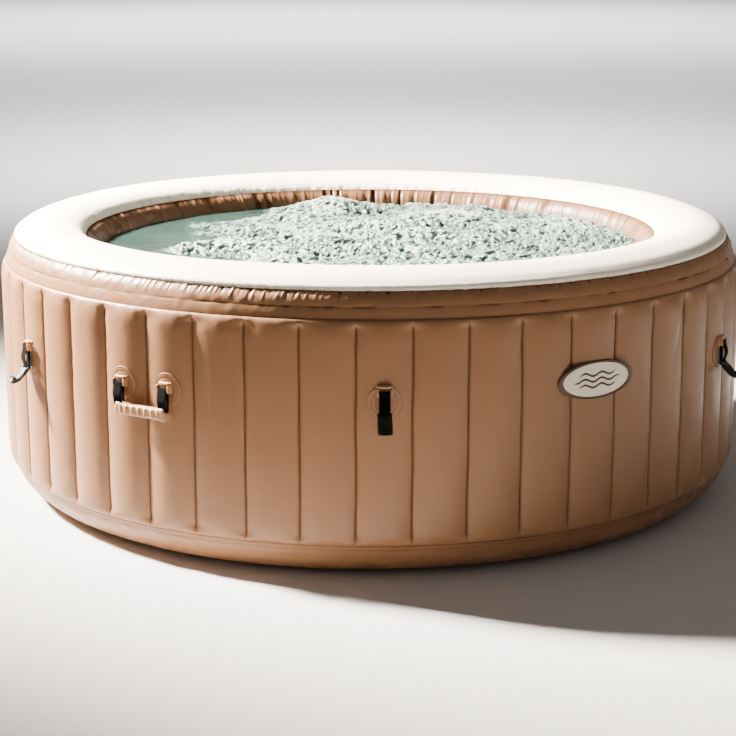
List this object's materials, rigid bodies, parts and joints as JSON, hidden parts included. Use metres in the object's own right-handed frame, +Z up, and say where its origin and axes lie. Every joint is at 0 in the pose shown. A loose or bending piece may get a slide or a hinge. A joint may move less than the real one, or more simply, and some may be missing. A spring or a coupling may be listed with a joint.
{
  "type": "inflatable hot tub",
  "caption": "Round inflatable hot tub with a ribbed vinyl wall, cream top ring, open basin, carry handles, cover buckles and rear water, air and drain fittings.",
  "frame": {"origin": "on the ground at the centre of the tub", "axes": "+Z up; -Y points from the centre to the front cover buckle; the carry handles lie on the line from azimuth -33.75 degrees to 146.25 degrees and the water fittings face +Y"},
  "size_m": [1.96, 2.0684, 0.7108],
  "materials": {
    "brown_vinyl": "satin welded vinyl, fine leather-like emboss",
    "cream_vinyl": "satin welded vinyl",
    "liner_vinyl": "satin laminated vinyl",
    "beam_fabric": "vinyl-coated scrim",
    "moulded_beige": "satin moulded plastic",
    "webbing": "woven nylon",
    "buckle_plastic": "satin moulded acetal",
    "badge_face": "satin printed vinyl",
    "badge_border": "satin printed vinyl",
    "port_plastic": "satin moulded plastic",
    "pipe_plastic": "smooth flexible hose",
    "seal_rubber": "matt rubber"
  },
  "bodies": {
    "tub": {"outer_wall": "brown_vinyl", "port_panel": "brown_vinyl", "shoulder_band": "brown_vinyl", "lower_band": "brown_vinyl", "base_ring": "brown_vinyl", "buckle_patches": "brown_vinyl", "handle_patches_1": "brown_vinyl", "handle_patches_2": "brown_vinyl", "top_ring": "cream_vinyl", "inner_wall": "liner_vinyl", "inner_port_panel": "liner_vinyl", "floor_sheet": "liner_vinyl", "bubble_duct": "liner_vinyl", "wall_beams": "beam_fabric", "buckle_holders": "moulded_beige", "handle_holders_1": "moulded_beige", "handle_holders_2": "moulded_beige", "valve_body": "moulded_beige", "inlet_strainer": "moulded_beige", "outlet_strainer": "moulded_beige", "badge_plate": "badge_face", "badge_rim": "badge_border", "water_inlet_fitting": "port_plastic", "water_outlet_fitting": "port_plastic", "air_fitting": "port_plastic", "drain_body": "port_plastic", "valve_spider": "port_plastic", "water_ducts": "pipe_plastic", "air_riser": "pipe_plastic", "port_gaskets": "seal_rubber"},
    "strap_1": {"buckle_webbing_1": "webbing"},
    "clip_1": {"buckle_1": "buckle_plastic"},
    "strap_2": {"buckle_webbing_2": "webbing"},
    "clip_2": {"buckle_2": "buckle_plastic"},
    "strap_3": {"buckle_webbing_3": "webbing"},
    "clip_3": {"buckle_3": "buckle_plastic"},
    "strap_4": {"buckle_webbing_4": "webbing"},
    "clip_4": {"buckle_4": "buckle_plastic"},
    "strap_5": {"buckle_webbing_5": "webbing"},
    "clip_5": {"buckle_5": "buckle_plastic"},
    "strap_6": {"buckle_webbing_6": "webbing"},
    "clip_6": {"buckle_6": "buckle_plastic"},
    "handle_1": {"handle_webbing_1": "webbing", "handle_grip_1": "moulded_beige"},
    "handle_2": {"handle_webbing_2": "webbing", "handle_grip_2": "moulded_beige"},
    "inflation_cap": {"valve_cap": "moulded_beige"},
    "inflation_plunger": {"valve_plunger": "port_plastic"},
    "outlet_cap": {"drain_cap": "port_plastic"},
    "outlet_plug": {"drain_plug": "seal_rubber"}
  },
  "joints": [
    {"name": "strap_1_swing", "type": "hinge", "parent": "tub", "child": "strap_1", "pos_m": [0, -0.9905, 0.45], "axis": [-1, 0, 0], "range_deg": [0, 135]},
    {"name": "clip_1_swing", "type": "hinge", "parent": "strap_1", "child": "clip_1", "pos_m": [0, -0.9905, 0.402], "axis": [-1, 0, 0], "range_deg": [-45, 25]},
    {"name": "strap_2_swing", "type": "hinge", "parent": "tub", "child": "strap_2", "pos_m": [0.8578, -0.49525, 0.45], "axis": [-0.5, -0.866, 0], "range_deg": [0, 135]},
    {"name": "clip_2_swing", "type": "hinge", "parent": "strap_2", "child": "clip_2", "pos_m": [0.8578, -0.49525, 0.402], "axis": [-0.5, -0.866, 0], "range_deg": [-45, 25]},
    {"name": "strap_3_swing", "type": "hinge", "parent": "tub", "child": "strap_3", "pos_m": [0.8578, 0.49525, 0.45], "axis": [0.5, -0.866, 0], "range_deg": [0, 135]},
    {"name": "clip_3_swing", "type": "hinge", "parent": "strap_3", "child": "clip_3", "pos_m": [0.8578, 0.49525, 0.402], "axis": [0.5, -0.866, 0], "range_deg": [-45, 25]},
    {"name": "strap_4_swing", "type": "hinge", "parent": "tub", "child": "strap_4", "pos_m": [0, 0.9905, 0.45], "axis": [1, 0, 0], "range_deg": [0, 135]},
    {"name": "clip_4_swing", "type": "hinge", "parent": "strap_4", "child": "clip_4", "pos_m": [0, 0.9905, 0.402], "axis": [1, 0, 0], "range_deg": [-45, 25]},
    {"name": "strap_5_swing", "type": "hinge", "parent": "tub", "child": "strap_5", "pos_m": [-0.8578, 0.49525, 0.45], "axis": [0.5, 0.866, 0], "range_deg": [0, 135]},
    {"name": "clip_5_swing", "type": "hinge", "parent": "strap_5", "child": "clip_5", "pos_m": [-0.8578, 0.49525, 0.402], "axis": [0.5, 0.866, 0], "range_deg": [-45, 25]},
    {"name": "strap_6_swing", "type": "hinge", "parent": "tub", "child": "strap_6", "pos_m": [-0.8578, -0.49525, 0.45], "axis": [-0.5, 0.866, 0], "range_deg": [0, 135]},
    {"name": "clip_6_swing", "type": "hinge", "parent": "strap_6", "child": "clip_6", "pos_m": [-0.8578, -0.49525, 0.402], "axis": [-0.5, 0.866, 0], "range_deg": [-45, 25]},
    {"name": "handle_1_swing", "type": "hinge", "parent": "tub", "child": "handle_1", "pos_m": [-0.55029, -0.82357, 0.43], "axis": [-0.8315, 0.5556, 0], "range_deg": [0, 110]},
    {"name": "handle_2_swing", "type": "hinge", "parent": "tub", "child": "handle_2", "pos_m": [0.55029, 0.82357, 0.43], "axis": [0.8315, -0.5556, 0], "range_deg": [0, 110]},
    {"name": "inflation_cap_flip", "type": "hinge", "parent": "tub", "child": "inflation_cap", "pos_m": [-0.495, 0.85737, 0.525], "axis": [0.866, 0.5, 0], "range_deg": [0, 160]},
    {"name": "inflation_plunger_press", "type": "slide", "parent": "tub", "child": "inflation_plunger", "axis": [0.5, -0.866, 0], "range_m": [0, 0.004], "stiffness_N_per_m": 200},
    {"name": "outlet_cap_flip", "type": "hinge", "parent": "tub", "child": "outlet_cap", "pos_m": [0.497, 0.86083, 0.068], "axis": [0.866, -0.5, 0], "range_deg": [0, 160]},
    {"name": "outlet_plug_pull", "type": "slide", "parent": "tub", "child": "outlet_plug", "axis": [-0.5, -0.866, 0], "range_m": [0, 0.03]}
  ]
}
